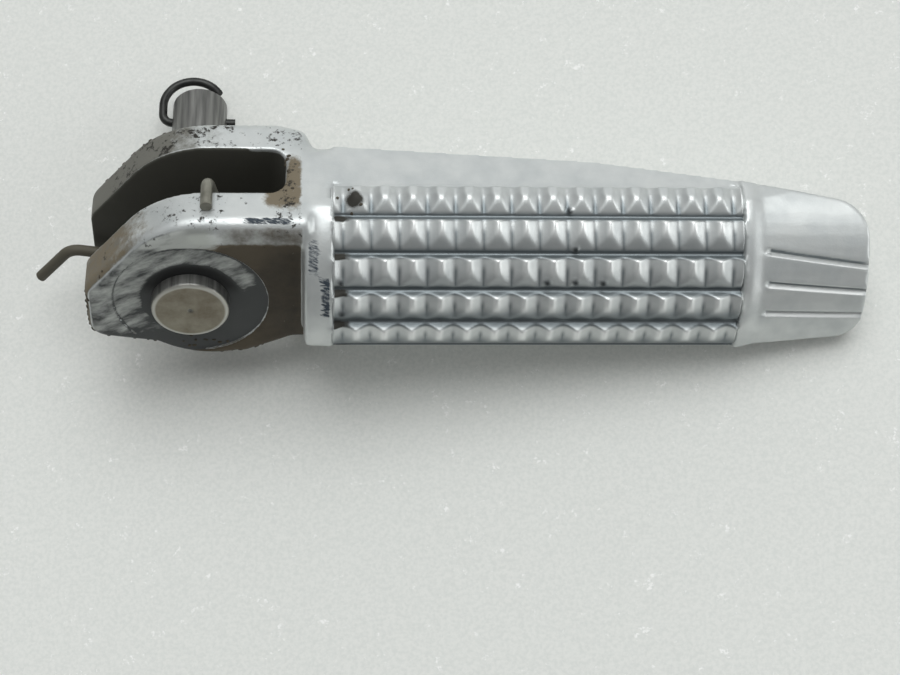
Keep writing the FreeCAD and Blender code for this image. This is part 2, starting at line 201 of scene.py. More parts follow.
def mixColour(tree, share, first, second):
    return addNode(tree, "ShaderNodeMix", {"Factor": share, 6: first, 7: second}, data_type="RGBA").outputs[2]


def mixValue(tree, share, first, second):
    made = addNode(tree, "ShaderNodeMix", {"Factor": share, 2: first, 3: second}, data_type="FLOAT")
    return made.outputs[0]


def noiseNode(tree, place, scale, detail, roughness=0.5):
    made = addNode(tree, "ShaderNodeTexNoise", {"Vector": place, "Scale": scale, "Detail": detail,
                                                "Roughness": roughness})
    return made.outputs["Fac"]


def stretch(tree, value, low, high):
    made = addNode(tree, "ShaderNodeMapRange", {"Value": value, "From Min": low, "From Max": high})
    return made.outputs[0]


def tone(red, green, blue):
    # an sRGB colour, 0 to 255, as the shader's linear one
    def linear(level):
        level = level / 255
        return level / 12.92 if level <= 0.04045 else ((level + 0.055) / 1.055) ** 2.4
    return (linear(red), linear(green), linear(blue), 1.0)


def newGroup(name, inputs, outputs, kind="ShaderNodeTree"):
    group = bpy.data.node_groups.new(name, kind)
    for label, socketKind, value in inputs:
        socket = group.interface.new_socket(label, in_out="INPUT", socket_type="NodeSocket" + socketKind)
        if value is not None:
            socket.default_value = value
    for label, socketKind in outputs:
        group.interface.new_socket(label, in_out="OUTPUT", socket_type="NodeSocket" + socketKind)
    start = group.nodes.new("NodeGroupInput")
    end = group.nodes.new("NodeGroupOutput")
    return group, start.outputs, end.inputs


def coatShape(tree, geometry, finish, end):
    # the last nodes of a Geometry Nodes tree
    real = addNode(tree, "GeometryNodeRealizeInstances", {"Geometry": geometry})
    coated = addNode(tree, "GeometryNodeSetMaterial", {"Geometry": real.outputs[0], "Material": finish})
    tree.links.new(coated.outputs[0], end)


def throughNodes(name, data, tree, values):
    # what a tree makes of a mesh or a curve, its inputs set by identifier
    holder = newObject(name, data)
    made = holder.modifiers.new("step", "NODES")
    made.node_group = tree
    for item in tree.interface.items_tree:
        if item.in_out == "INPUT" and item.name in values:
            made[item.identifier] = values[item.name]
    return plainMesh(holder)


# shared effects

def makeBreakup():
    # turns a soft mask into ragged patches
    group, given, result = newGroup(
        "raggedPatch",
        [("Vector", "Vector", None), ("Mask", "Float", 0.5),
         ("Scale", "Float", 300.0), ("Softness", "Float", 0.3)],
        [("Mask", "Float")])
    cloud = noiseNode(group, given["Vector"], given["Scale"], 6.0, 0.65)
    lifted = mathNode(group, "MULTIPLY", given["Mask"], 1.5)
    summed = mathNode(group, "ADD", lifted, cloud)
    shifted = mathNode(group, "SUBTRACT", summed, 1.2)
    divided = mathNode(group, "DIVIDE", shifted, given["Softness"])
    centred = mathNode(group, "ADD", divided, 0.5, clamp=True)
    group.links.new(centred, result["Mask"])
    return group


def makeSpeckle():
    # small separate dots whose number grows with the mask
    group, given, result = newGroup(
        "darkSpeck",
        [("Vector", "Vector", None), ("Mask", "Float", 0.5),
         ("Scale", "Float", 900.0)],
        [("Mask", "Float")])
    fine = noiseNode(group, given["Vector"], given["Scale"], 3.0, 0.7)
    coarse = mathNode(group, "MULTIPLY", given["Scale"], 0.22)
    patch = noiseNode(group, given["Vector"], coarse, 2.0)
    both = mathNode(group, "ADD", fine, mathNode(group, "MULTIPLY", patch, 0.9))
    level = mathNode(group, "ADD", both, mathNode(group, "MULTIPLY", given["Mask"], 0.42))
    sharp = mathNode(group, "MULTIPLY", mathNode(group, "SUBTRACT", level, 1.34), 9.0, clamp=True)
    group.links.new(mathNode(group, "MULTIPLY", sharp, mathNode(group, "MULTIPLY", given["Mask"], 3.0, True)),
                    result["Mask"])
    return group


def makeGrain():
    # height of a sand-cast or drawn skin, and a slow cloud for its colour
    group, given, result = newGroup(
        "metalGrain",
        [("Vector", "Vector", None), ("Scale", "Float", 1500.0)],
        [("Height", "Float"), ("Cloud", "Float")])
    fine = noiseNode(group, given["Vector"], given["Scale"], 4.0, 0.6)
    slow = noiseNode(group, given["Vector"], mathNode(group, "MULTIPLY", given["Scale"], 0.09), 4.0)
    group.links.new(fine, result["Height"])
    group.links.new(slow, result["Cloud"])
    return group


breakupGroup = makeBreakup()
speckleGroup = makeSpeckle()
grainGroup = makeGrain()


def newFinish(name):
    material = bpy.data.materials.new(name)
    material.use_nodes = True
    tree = material.node_tree
    shader = tree.nodes["Principled BSDF"]
    place = addNode(tree, "ShaderNodeTexCoord").outputs["Object"]
    return material, tree, shader, place


def placeGroup(tree, group, inputs):
    return addNode(tree, "ShaderNodeGroup", inputs, node_tree=group).outputs


def readMask(tree, name):
    return addNode(tree, "ShaderNodeAttribute", attribute_name=name).outputs["Fac"]


def raggedMask(tree, place, mask, scale, softness):
    return placeGroup(tree, breakupGroup, {"Vector": place, "Mask": readMask(tree, mask), "Scale": scale,
                                           "Softness": softness})["Mask"]


def joinShader(tree, shader, colour, metal, rough, height, strength, distance):
    bump = addNode(tree, "ShaderNodeBump", {"Height": height, "Strength": strength, "Distance": distance})
    tree.links.new(colour, shader.inputs["Base Color"])
    tree.links.new(metal, shader.inputs["Metallic"])
    tree.links.new(rough, shader.inputs["Roughness"])
    tree.links.new(bump.outputs["Normal"], shader.inputs["Normal"])


def turnedPlace(tree, place, rotation, scale):
    turned = addNode(tree, "ShaderNodeMapping", {"Vector": place, "Rotation": rotation}).outputs["Vector"]
    return addNode(tree, "ShaderNodeVectorMath", {0: turned, 1: scale}, operation="MULTIPLY").outputs[0]


print("shared effects ready")


# cast alloy of the clevis and the bar

castLook = {
    "silver": tone(209, 212, 211),
    "silverDeep": tone(150, 157, 160),
    # painted shade for the tread's hollows
    "treadShadeGrey": tone(116, 123, 126),
    # painted highlight for the crests
    "paintedHighlight": tone(236, 238, 237),
    "brown": tone(78, 69, 54),
    "seatGrey": tone(72, 74, 74),
    "paleScuff": tone(184, 187, 183),
    # painted shade inside the slot
    "slotShadeGrey": tone(74, 73, 66),
    "soilGrey": tone(108, 107, 100),
    "soilTan": tone(114, 104, 86),
    "brownDeep": tone(52, 46, 37),
    # dirt, and painted shade at the grooves' ends
    "dirtAndShadeDark": tone(44, 42, 36),
    "speckBlack": tone(38, 35, 30),
    # painted shadow above the pin's head
    "headShadowBlack": tone(20, 20, 20),
    "scuffBlue": tone(46, 56, 66),
    "pitDark": tone(60, 64, 66),
}


def makeCastAlloy():
    look = castLook
    material, tree, shader, place = newFinish("castAlloy")
    grain = placeGroup(tree, grainGroup, {"Vector": place, "Scale": 2600.0})
    cloud = stretch(tree, grain["Cloud"], 0.35, 0.7)
    colour = mixColour(tree, mathNode(tree, "MULTIPLY", cloud, 0.35), look["silver"], look["silverDeep"])
    # painted shade in the tread's hollows
    colour = mixColour(tree, readMask(tree, "treadShade"), colour, look["treadShadeGrey"])
    # painted highlights on the crests and on the tip lines' lower sides
    colour = mixColour(tree, readMask(tree, "crestHighlight"), colour, look["paintedHighlight"])
    grime = 0.0
    layers = [
        ("soil", "soilGrey", 420.0, 0.45),
        ("tan", "soilTan", 700.0, 0.35),
        ("brown", "brown", 260.0, 0.5),
        ("brownDeep", "brownDeep", 300.0, 0.6),
        ("seat", "seatGrey", 350.0, 0.4),
        # painted shade inside the slot
        ("slot", "slotShadeGrey", 300.0, 0.5),
        # dirt in the first tooth, and painted shade at the grooves' ends
        ("toothSoilAndShade", "dirtAndShadeDark", 900.0, 0.5),
    ]
    for mask, hue, scale, softness in layers:
        share = raggedMask(tree, place, mask, scale, softness)
        colour = mixColour(tree, share, colour, look[hue])
        grime = mathNode(tree, "MAXIMUM", grime, share)
    # pale rubbed streaks run across the ear's face
    streakPlace = turnedPlace(tree, place, (-pinTilt, 0.0, math.radians(-28)), (0.42, 1.3, 1.0))
    streak = raggedMask(tree, streakPlace, "rubbed", 430.0, 0.3)
    colour = mixColour(tree, streak, colour, look["paleScuff"])
    # painted shadow above the pin's head
    colour = mixColour(tree, readMask(tree, "headShadow"), colour, look["headShadowBlack"])
    specks = placeGroup(tree, speckleGroup, {"Vector": place, "Mask": readMask(tree, "specks"),
                                             "Scale": 1100.0})["Mask"]
    colour = mixColour(tree, specks, colour, look["speckBlack"])
    # dark transfer marks lie in short slanting strokes on the collar
    strokePlace = turnedPlace(tree, place, (0.0, 0.0, math.radians(20)), (0.7, 2.6, 1.0))
    strokes = raggedMask(tree, strokePlace, "strokes", 1300.0, 0.25)
    colour = mixColour(tree, strokes, colour, look["scuffBlue"])
    colour = mixColour(tree, readMask(tree, "pits"), colour, look["pitDark"])
    dull = mathNode(tree, "MAXIMUM", mathNode(tree, "MAXIMUM", grime, specks), strokes)
    metal = mixValue(tree, dull, 0.66, 0.05)
    rough = mathNode(tree, "ADD", mixValue(tree, dull, 0.38, 0.68), mathNode(tree, "MULTIPLY", cloud, 0.08))
    crust = mathNode(tree, "ADD", mathNode(tree, "MULTIPLY", grain["Height"], 0.35),
                     mathNode(tree, "MULTIPLY", mathNode(tree, "ADD", grime, specks), 0.5))
    joinShader(tree, shader, colour, metal, rough, crust, 0.28, 0.0002)
    return material


# the casting: the solid with its edges melted as a casting's are, then worn and soiled

castShape = {
    "voxel": 0.00027,
    "meltRounds": 4,
    "shoulderRounds": 260,
    "triangles": 108000,
    "faceLevel": 10.6,
    "faceEnd": 17.2,
    "faceStep": 0.75,
    "skinStep": 1.5,
    "splitRounds": 7,
    "rimHeight": 0.38,
    "tipStart": 84.3,
    "tipEnd": 104.2,
    "tipRound": 18.1,
    "tipEndRound": 16.4,
    "grooveStart": 88.4,
    "grooveDepth": 0.7,
    "grooveHalf": 0.62,
    "pitDepth": 0.3,
    "pitRadius": 0.75,
}


def meltedCopy(node):
    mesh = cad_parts[node].data.copy()
    mesh.materials.clear()
    with editing(mesh) as work:
        bmesh.ops.remove_doubles(work, verts=work.verts, dist=1e-6)
    return modified(mesh, "REMESH", mode="VOXEL", voxel_size=castShape["voxel"], use_smooth_shade=True)


# the tread: rows of leaning teeth round the bar, each row with a steep foot

treadShape = {
    "start": 21.8,
    "end": 84.3,
    "root": 17.75,
    "flank": 17.02,
    "height": 1.5,
    "rows": 5,
    "rowFirst": 9.4,
    "rowPitch": 18.1,
    "rowStart": 0.02,
    "topRowStart": 0.1,
    "apex": 0.2,
    "footTop": 0.16,
    "fallEnd": 0.93,
    "fallPower": 1.9,
    "foot": (0.925, 0.985),
    "notches": 15,
    "notchFirst": 23.3,
    "notchPitch": 4.24,
    "notchFloor": 0.28,
    "topRowFloor": 0.06,
    "notchTop": 1.05,
    "notchOdd": 0.03,
    "notchPower": 1.45,
    "edgeSoft": 0.06,
    "notchSteps": 18,
    "topLimit": 17.95,
    "limitSoft": 0.08,
    "endDip": 0.9,
    "firstDips": (0.5, 0.15),
    "lastDip": 0.8,
    "seed": 11,
}

# places down one row where the tread's mesh is cut, closest at the apex and at the foot
rowSteps = [0, 0.02, 0.05, 0.08, 0.11, 0.14, 0.17, 0.2, 0.23, 0.27, 0.32, 0.38, 0.44, 0.5, 0.56, 0.62,
            0.68, 0.74, 0.8, 0.85, 0.89, 0.915, 0.935, 0.95, 0.965, 0.98]


def softLesser(first, second, soft):
    return -soft * np.log(np.exp(-first / soft) + np.exp(-second / soft))


def rootRound(angle):
    # the tread's root falls to the flat flank at its upper end
    return np.minimum(treadShape["root"], treadShape["flank"] / np.cos(np.radians(np.clip(angle, -40, 60))))


def toothHeight(x, angle):
    shape = treadShape
    turn = (angle - shape["rowFirst"]) / shape["rowPitch"]
    row = np.clip(np.floor(turn + 1e-9), 0, shape["rows"] - 1)
    share = np.clip(turn - row, 0, 1)
    # the top row starts later, out of the flat flank
    rise = ramp(share, np.where(row == 0, shape["topRowStart"], shape["rowStart"]), shape["apex"])
    down = np.clip((share - shape["apex"]) / (shape["fallEnd"] - shape["apex"]), 0, 1)
    fall = 1 - (1 - shape["footTop"]) * down ** shape["fallPower"]
    ridge = rise * fall * (1 - ramp(share, *shape["foot"]))
    place = (x - shape["notchFirst"]) / shape["notchPitch"]
    near = np.clip(np.round(place), 0, shape["notches"] - 1)
    side = np.sqrt((2 * (place - near)) ** 2 + 0.006)
    # no two cast teeth are quite alike
    dice = np.random.default_rng(shape["seed"]).normal(0, 1, (shape["rows"], shape["notches"] + 2))
    tooth = np.clip(np.floor(place) + 1, 0, shape["notches"] + 1).astype(int)
    odd = dice[row.astype(int), tooth]
    floor = np.where(row == 0, shape["topRowFloor"], shape["notchFloor"])
    top = shape["notchTop"] + shape["notchOdd"] * odd
    notch = floor + (top - floor) * np.clip(side, 0, 1.3) ** shape["notchPower"]
    return softLesser(ridge, notch, shape["edgeSoft"])


def treadMesh():
    shape = treadShape
    along = [shape["start"] - 0.3]
    steps = shape["notchSteps"]
    for notch in range(-1, shape["notches"]):
        for step in range(steps):
            x = shape["notchFirst"] + shape["notchPitch"] * (notch + step / steps)
            if shape["start"] - 0.15 < x < shape["end"] + 0.1:
                along.append(x)
    along += [x for x in np.arange(along[-1] + 0.25, shape["end"] + 0.1, 0.25)] + [shape["end"] + 0.3]
    turns = [shape["rowFirst"] - 3.4, shape["rowFirst"] - 1.4]
    for row in range(shape["rows"]):
        turns += [shape["rowFirst"] + shape["rowPitch"] * (row + step) for step in rowSteps]
    last = shape["rowFirst"] + shape["rowPitch"] * shape["rows"]
    turns += [last, last + 1.6]
    x, angle = np.meshgrid(np.array(along), np.array(turns), indexing="ij")
    radius = rootRound(angle) + shape["height"] * toothHeight(x, angle)
    # the top row is cut off near the flank's plane, and the ends stay inside the collar and the rim
    limit = shape["topLimit"] / np.cos(np.radians(np.clip(angle, 0, 60)))
    radius = softLesser(radius, limit, shape["limitSoft"])
    radius[(x < shape["start"] + 0.05) | (x > shape["end"] - 0.05)] -= shape["endDip"]
    radius[:, 0] -= shape["firstDips"][0]
    radius[:, 1] -= shape["firstDips"][1]
    radius[:, -1] -= shape["lastDip"]
    q = radius * np.cos(np.radians(angle))
    p = radius * np.sin(np.radians(angle))
    spots = [pinPlace(*spot) for spot in zip(x.ravel(), q.ravel(), p.ravel())]
    rows, columns = x.shape
    faces = []
    for i in range(rows - 1):
        for j in range(columns - 1):
            corner = i * columns + j
            faces.append((corner, corner + columns, corner + columns + 1, corner + 1))
    mesh = bpy.data.meshes.new("treadMesh")
    mesh.from_pydata(spots, [], faces)
    mesh.shade_smooth()
    return mesh


# the tip's three lines, by the angle where each starts and ends
grooveLines = [(44.6, 52.1), (61.0, 67.0), (77.4, 81.9)]


def grooveMiddle(x, start, end):
    length = castShape["tipEnd"] - castShape["grooveStart"]
    return start + (end - start) * (x - castShape["grooveStart"]) / length


def shapeTip(coords, normals):
    # a raised rim ends the tread, and three lines run down the tip
    shape = castShape
    x, q, p, angle, radius = barCoords(coords)
    out = np.stack([np.zeros_like(x), q, p], 1) / np.maximum(radius, 1)[:, None]
    outward = out @ np.array(leanTurn.transposed())
    facing = (normals * outward).sum(1)
    skin = ramp(facing, 0.45, 0.8) * band(angle, 2, 103, 3)
    cone = shape["tipRound"] + (shape["tipEndRound"] - shape["tipRound"]) * (
        (x - shape["tipStart"]) / (shape["tipEnd"] - shape["tipStart"]))
    move = skin * shape["rimHeight"] * ramp(x, 84.1, 84.4) * (1 - ramp(x, 85.3, 87.6))
    for start, end in grooveLines:
        away = np.radians(angle - grooveMiddle(x, start, end)) * radius
        zone = skin * ramp(x, shape["grooveStart"] - 0.7, shape["grooveStart"] + 0.2)
        fill = zone * (1 - ramp(np.abs(away), 1.1, 1.6)) * (np.abs(cone - radius) < 0.8)
        move = move * (1 - fill) + fill * (cone - radius)
        dip = zone * np.clip(1 - np.abs(away) / shape["grooveHalf"], 0, 1)
        move = move - shape["grooveDepth"] * dip
    return coords + outward * (move * mm)[:, None]


def sinkTread(coords):
    x, q, p, angle, radius = barCoords(coords)
    under = (x > 21.95) & (x < 84.15) & (angle > 9.9) & (angle < 99.6) & (radius > 16.3)
    floor = rootRound(angle) - 0.5
    share = np.where(under, np.minimum(floor / np.maximum(radius, 1), 1), 1)
    return np.array([pinPlace(*spot) for spot in zip(x, q * share, p * share)])


def sharpenGrooves(mesh):
    # finer faces where the tip's lines run
    with editing(mesh) as work:
        x, q, p, angle, radius = barCoords(np.array([vert.co for vert in work.verts]))
        fine = np.zeros(len(x), dtype=bool)
        for start, end in grooveLines:
            fine |= (np.abs(angle - grooveMiddle(x, start, end)) < 4.5) & (x > 87.4) & (radius > 14)
        work.verts.ensure_lookup_table()
        chosen = [edge for edge in work.edges if fine[edge.verts[0].index] and fine[edge.verts[1].index]]
        bmesh.ops.subdivide_edges(work, edges=chosen, cuts=1, use_grid_fill=True)


def splitLong(work):
    work.verts.index_update()
    work.edges.ensure_lookup_table()
    coords = np.array([vert.co for vert in work.verts])
    x, q, p = pinCoords(coords)
    ends = np.array([(edge.verts[0].index, edge.verts[1].index) for edge in work.edges])
    length = np.linalg.norm(coords[ends[:, 0]] - coords[ends[:, 1]], axis=1) / mm
    face = (p > castShape["faceLevel"]) & (x < castShape["faceEnd"])
    limit = np.where(face[ends].all(1), castShape["faceStep"], castShape["skinStep"])
    chosen = [work.edges[index] for index in np.nonzero(length > limit)[0]]
    if chosen:
        bmesh.ops.subdivide_edges(work, edges=chosen, cuts=1)
        bmesh.ops.triangulate(work, faces=work.faces)
    return bool(chosen)


def refineSkin(mesh):
    # long flat faces are split, finer on the flat of the near ear, to carry paint and even shading
    with editing(mesh) as work:
        for turn in range(castShape["splitRounds"]):
            if not splitLong(work):
                break


# small dents in the tread: place along the bar and round the tread, from the flank
pitPlaces = [(54.2, 59.4), (58.5, 59.2), (62.7, 59.6), (23.0, 60), (23.2, 77), (57.6, 25.0), (58.4, 43.6)]


def shoulderShare(x, q, p):
    # how far the blend from clevis to bar is melted, least on the near side and not at the cut edges
    tread = band(x, 21.4, 84.6, 0.5) * ramp(np.hypot(q, p), 16.8, 17.6)
    bore = (1 - ramp(np.hypot(x, q), 5.2, 6.2)) * (1 - ramp(x, 10, 11))
    seatRim = band(np.hypot(x, q), 10.8, 13.2, 0.3) * ramp(p, 10.8, 11.1)
    collarEdge = band(x, 21.0, 22.6, 0.3) * ramp(np.hypot(q, p), 16.6, 17.4) * ramp(p, 5, 7)
    farSide = 1 - ramp(p, -3, 2)
    shoulder = band(x, 15, 27, 2) * (1 - tread) * (1 - bore) * (1 - seatRim) * (1 - collarEdge)
    shoulder = shoulder * (1 - band(p, -5, 5, 0.5) * (1 - ramp(x, 14, 15.5))) * (0.12 + 0.88 * farSide)
    return shoulder


def flankShare(x, q, p):
    # the flank is one flat face as far as the tread
    flat = 1 - ramp(np.abs(q - treadShape["flank"]), 0.2, 0.45)
    flat = np.maximum(flat, ramp(p, 1.4, 1.9) * ramp(q, 15, 15.5)) * (1 - ramp(p, 7, 8))
    return flat * band(x, 22.6, 83.5, 0.4)


def castBar():
    mesh = meltedCopy("footpeg_bar")
    coords = readCoords(mesh)
    edges = readEdges(mesh)
    shoulder = shoulderShare(*pinCoords(coords))
    coords = relax(coords, edges, np.full(len(coords), 0.5), castShape["meltRounds"])
    coords = relax(coords, edges, 0.5 * shoulder, castShape["shoulderRounds"])
    writeCoords(mesh, sinkTread(coords))
    sharpenGrooves(mesh)
    coords = shapeTip(readCoords(mesh), readNormals(mesh))
    edges = readEdges(mesh)
    coords = relax(coords, edges, 0.4 * band(pinCoords(coords)[0], 84, 88, 0.3), 3)
    writeCoords(mesh, coords)
    print("casting shaped,", len(mesh.polygons), "faces")
    denseCoords, denseNormals = readCoords(mesh), readNormals(mesh)
    ratio = castShape["triangles"] / (2 * len(mesh.polygons))
    mesh = modified(mesh, "DECIMATE", ratio=ratio)
    refineSkin(mesh)
    skinNormals = denseNormals[nearestPlaces(denseCoords, readCoords(mesh))]
    flat = flankShare(*pinCoords(readCoords(mesh)))
    skinNormals = skinNormals + flat[:, None] * (np.array(leanTurn @ Vector((0, 1, 0))) - skinNormals)
    skinNormals /= np.linalg.norm(skinNormals, axis=1)[:, None]
    with editing(mesh) as work:
        work.from_mesh(treadMesh())
    mesh.shade_smooth()
    pits = dentTread(mesh)
    paintCasting(mesh, pits)
    treadNormals = readNormals(mesh)[len(skinNormals):]
    mesh.normals_split_custom_set_from_vertices(np.concatenate([skinNormals, treadNormals]).tolist())
    mesh.materials.append(makeCastAlloy())
    print("casting", sum(len(face.vertices) - 2 for face in mesh.polygons), "triangles")
    return addPiece("footpegCasting", mesh, "footpeg", "cast_alloy", "footpeg_bar")


def dentTread(mesh):
    coords = readCoords(mesh)
    x, q, p, angle, around = barCoords(coords)
    pits = np.zeros(len(coords))
    for along, turn in pitPlaces:
        away = np.hypot(x - along, np.radians(angle - turn) * around)
        pits = np.maximum(pits, (1 - ramp(away, 0.15, castShape["pitRadius"])) * ramp(around, 17.4, 17.6))
    writeCoords(mesh, coords - readNormals(mesh) * (pits * castShape["pitDepth"] * mm)[:, None])
    return pits


def grooveSides(x, angle, around):
    # painted shade on the upper side of the tip's lines and a painted highlight on their lower one
    shade, light = np.zeros_like(x), np.zeros_like(x)
    along = band(x, castShape["grooveStart"], castShape["tipEnd"] - 0.6, 0.2) * ramp(around, 15.0, 15.4)
    for start, end in grooveLines:
        away = np.radians(angle - grooveMiddle(x, start, end)) * around
        shade = np.maximum(shade, along * band(away, -0.5, -0.05, 0.08))
        light = np.maximum(light, along * band(away, 0.1, 0.62, 0.08))
    return shade, light


# where one part of the casting passes into the next, in the pin's frame
castBorders = {
    "clevisEnd": (17.0, 17.7),
    "faceLevel": (10.7, 11.1),
    "faceTilt": (0.55, 0.9),
    "seatRound": (11.7, 12.2),
    "slotHalf": (4.6, 4.9),
    "slotEnd": (15.0, 15.8),
    "slotLip": (15.6, 17.2),
    "lipStart": (8, 10),
    "nearEar": (4, 5),
    "treadSpan": (21.9, 84.2, 0.1),
    "treadRound": (17.5, 17.6),
}


def castSpots(mesh):
    # where each vertex lies, and its share in each part of the casting
    edge = castBorders
    x, q, p, angle, around = barCoords(readCoords(mesh))
    facing = readNormals(mesh) @ np.array(leanTurn @ Vector((0, 0, 1)))
    spot = SimpleNamespace(x=x, q=q, p=p, angle=angle, around=around, radius=np.hypot(x, q))
    spot.turn = (angle - treadShape["rowFirst"]) / treadShape["rowPitch"]
    spot.clevis = 1 - ramp(x, *edge["clevisEnd"])
    spot.face = ramp(p, *edge["faceLevel"]) * spot.clevis * ramp(facing, *edge["faceTilt"])
    spot.inSeat = 1 - ramp(spot.radius, *edge["seatRound"])
    spot.slot = (1 - ramp(np.abs(p), *edge["slotHalf"])) * (1 - ramp(x, *edge["slotEnd"]))
    spot.slot = spot.slot * (1 - ramp(q, *edge["slotLip"]) * ramp(x, *edge["lipStart"]))
    spot.land = spot.clevis * (1 - spot.face) * (1 - spot.slot)
    spot.near = ramp(p, *edge["nearEar"])
    spot.tread = band(x, *edge["treadSpan"]) * ramp(around, *edge["treadRound"])
    return spot


def paintTeeth(mesh, spot):
    x, turn, tread, around = spot.x, spot.turn, spot.tread, spot.around
    # painted shade in the tread's grooves, on the teeth's lower faces and down the notches
    groove = tread * (1 - ramp(around, 17.75, 18.3)) * ramp(turn, 0.5, 0.9)
    tongue = 0.35 + 0.6 * ramp(turn, 2.6, 3.4)
    tongue = tread * ramp(turn, 1.0, 1.2) * ramp(turn % 1, 0.35, 0.8) * tongue
    notch = (x - treadShape["notchFirst"]) / treadShape["notchPitch"]
    seam = np.exp(-((notch - np.round(notch)) * treadShape["notchPitch"] / 0.32) ** 2)
    tongue = np.maximum(tongue, 0.85 * tread * seam * ramp(turn % 1, 0.25, 0.5) * ramp(turn, 0.3, 0.6))
    # painted shade on the steep upper side of each lower row
    tongue = np.maximum(tongue, 0.9 * tread * ramp(turn, 0.97, 1.0) * (1 - ramp(turn % 1, 0.1, 0.19)))
    shade, light = grooveSides(x, spot.angle, around)
    paint(mesh, "treadShade", np.clip(groove + tongue + shade, 0, 1))
    # painted highlight along the teeth's crests and the tip lines' lower sides
    paint(mesh, "crestHighlight", np.clip(tread * ramp(around, 18.75, 19.2) + light, 0, 1))


def paintLands(mesh, spot):
    # the ears' outsides and edges: grey soil, most at the heel and underneath, and tan dust
    x, q, p, near, land = spot.x, spot.q, spot.p, spot.near, spot.land
    farSoil = (1 - near) * (0.62 * (1 - ramp(x, -10, 6)) + 0.3 * (1 - ramp(x, 4, 15)))
    nearSoil = near * (0.5 * (1 - ramp(x, -13, -3)) + 0.16 * (1 - ramp(x, -2, 8)))
    under = 0.8 * (1 - ramp(q, -9, -6))
    paint(mesh, "soil", np.clip(land * (farSoil + nearSoil + 0.5 * ramp(-p, 10.1, 10.8) + under), 0, 1))
    slotEnd = 0.5 * band(x, 11.5, 17.2, 1.0) * band(p, -3, 8, 2)
    faceTop = spot.face * 0.8 * band(q, 9.5, 13.0, 0.8) * ramp(x, -4, 2) * (1 - spot.inSeat)
    paint(mesh, "tan", land * (0.2 + 0.34 * near * (1 - ramp(x, -12, -1)) + slotEnd) + faceTop)


def paintFace(mesh, spot):
    # the near ear's face: brown round the seat, a painted shadow beside the head, rubbed pale in places
    x, q, radius, face, inSeat = spot.x, spot.q, spot.radius, spot.face, spot.inSeat
    browned = np.clip(ramp(x, 2, 8) * 0.62 + 0.4 * (1 - ramp(q, -11, -7)) + 0.38, 0, 1)
    paint(mesh, "brown", face * browned * (1 - 0.5 * ramp(q, 11, 13.5)) * (1 - inSeat))
    deep = np.clip(0.2 + 0.3 * ramp(x, 6, 14) - 0.2 * ramp(q, 9, 14), 0, 1)
    paint(mesh, "brownDeep", face * (1 - inSeat) * deep)
    paint(mesh, "seat", face * np.clip(inSeat + 0.62 * (1 - ramp(x, -3, 5)), 0, 1))
    # painted shadow in a crescent above the pin's head
    paint(mesh, "headShadow", 0.9 * face * np.exp(-((radius - 6.7) / 1.15) ** 4) * ramp(q, 0.5, 3.5))
    # painted shade inside the slot between the ears
    paint(mesh, "slot", spot.slot)
    upper = band(radius, 7.8, 11.6, 0.4) * ramp(q, -1, 3) * 0.47 * (1 - ramp(x, 8, 11))
    rubbed = np.maximum((1 - ramp(x, -9, 5)) * 0.47 * ramp(q, -13, -6), upper)
    rubbed = np.maximum(rubbed, 0.6 * ramp(q, 9.5, 12.5) * (1 - ramp(x, 2, 9)))
    rubbed = np.maximum(rubbed, 0.6 * np.exp(-((x - 8.6) / 2.4) ** 2 - ((q - 4.5) / 2.4) ** 2))
    paint(mesh, "rubbed", face * np.clip(rubbed, 0, 1) * ramp(radius, 6.6, 8.0))


def paintMarks(mesh, spot):
    # specks on the lands, and dark strokes on the collar and the near ear's edge
    x, q, p, angle = spot.x, spot.q, spot.p, spot.angle
    specked = spot.land * (0.62 + 0.22 * (1 - spot.near) * (1 - ramp(x, 6, 15))) * ramp(q, 0, 8)
    paint(mesh, "specks", specked + spot.face * 0.5 * ramp(q, 10.5, 13))
    collar = band(x, 17.8, 21.7, 0.4) * ramp(spot.around, 17.4, 18.0)
    marks = (band(x, 17.9, 20.0, 0.4) * band(angle, 38, 58, 4) * 0.5
             + band(x, 19.7, 21.5, 0.3) * band(angle, 57, 79, 2) * 0.54)
    edgeMarks = band(x, 8, 16, 1) * band(p, 9.7, 10.9, 0.3) * ramp(q, 13, 14.5) * 0.55
    paint(mesh, "strokes", np.clip(collar * marks + edgeMarks, 0, 1))


def paintDirt(mesh, spot, pits):
    # dirt in the first teeth with painted shade where the grooves end at the collar, and the corners where
    # crumbs of it hold
    x, q, p, turn, land = spot.x, spot.q, spot.p, spot.turn, spot.land
    early = np.exp(-((x - 25.0) / 1.5) ** 2 - ((spot.angle - 20) / 5) ** 2)
    # painted shade at the grooves' ends by the collar
    corner = np.exp(-((x - 22.5) / 2.2) ** 2) * band(turn % 1, 0.0, 0.2, 0.06) * ramp(turn, 0.6, 0.9)
    paint(mesh, "toothSoilAndShade", np.clip(spot.tread * (early + corner * 0.8), 0, 1))
    paint(mesh, "pits", pits)
    farEdge = land * ramp(-p, 9.6, 10.4) * (1 - ramp(x, -9, -3)) * ramp(q, -1, 2)
    heel = np.maximum(1 - ramp(q, -10, -8.5), 1 - ramp(x, -14.5, -13))
    nearEdge = spot.near * band(p, 9.8, 11.1, 0.2) * heel * 0.6
    slotCorner = land * band(x, 14.2, 15.8, 0.3) * band(p, -4.5, 6, 0.8) * ramp(q, 14, 15.5)
    held = spot.clevis * (farEdge + nearEdge + slotCorner * 0.5) + spot.tread * early * 0.5
    paint(mesh, "crumbly", np.clip(held, 0, 1))


def paintCasting(mesh, pits):
    spot = castSpots(mesh)
    paintTeeth(mesh, spot)
    paintLands(mesh, spot)
    paintFace(mesh, spot)
    paintMarks(mesh, spot)
    paintDirt(mesh, spot, pits)


# crumbs of dried dirt, scattered by nodes where the casting is dirtiest

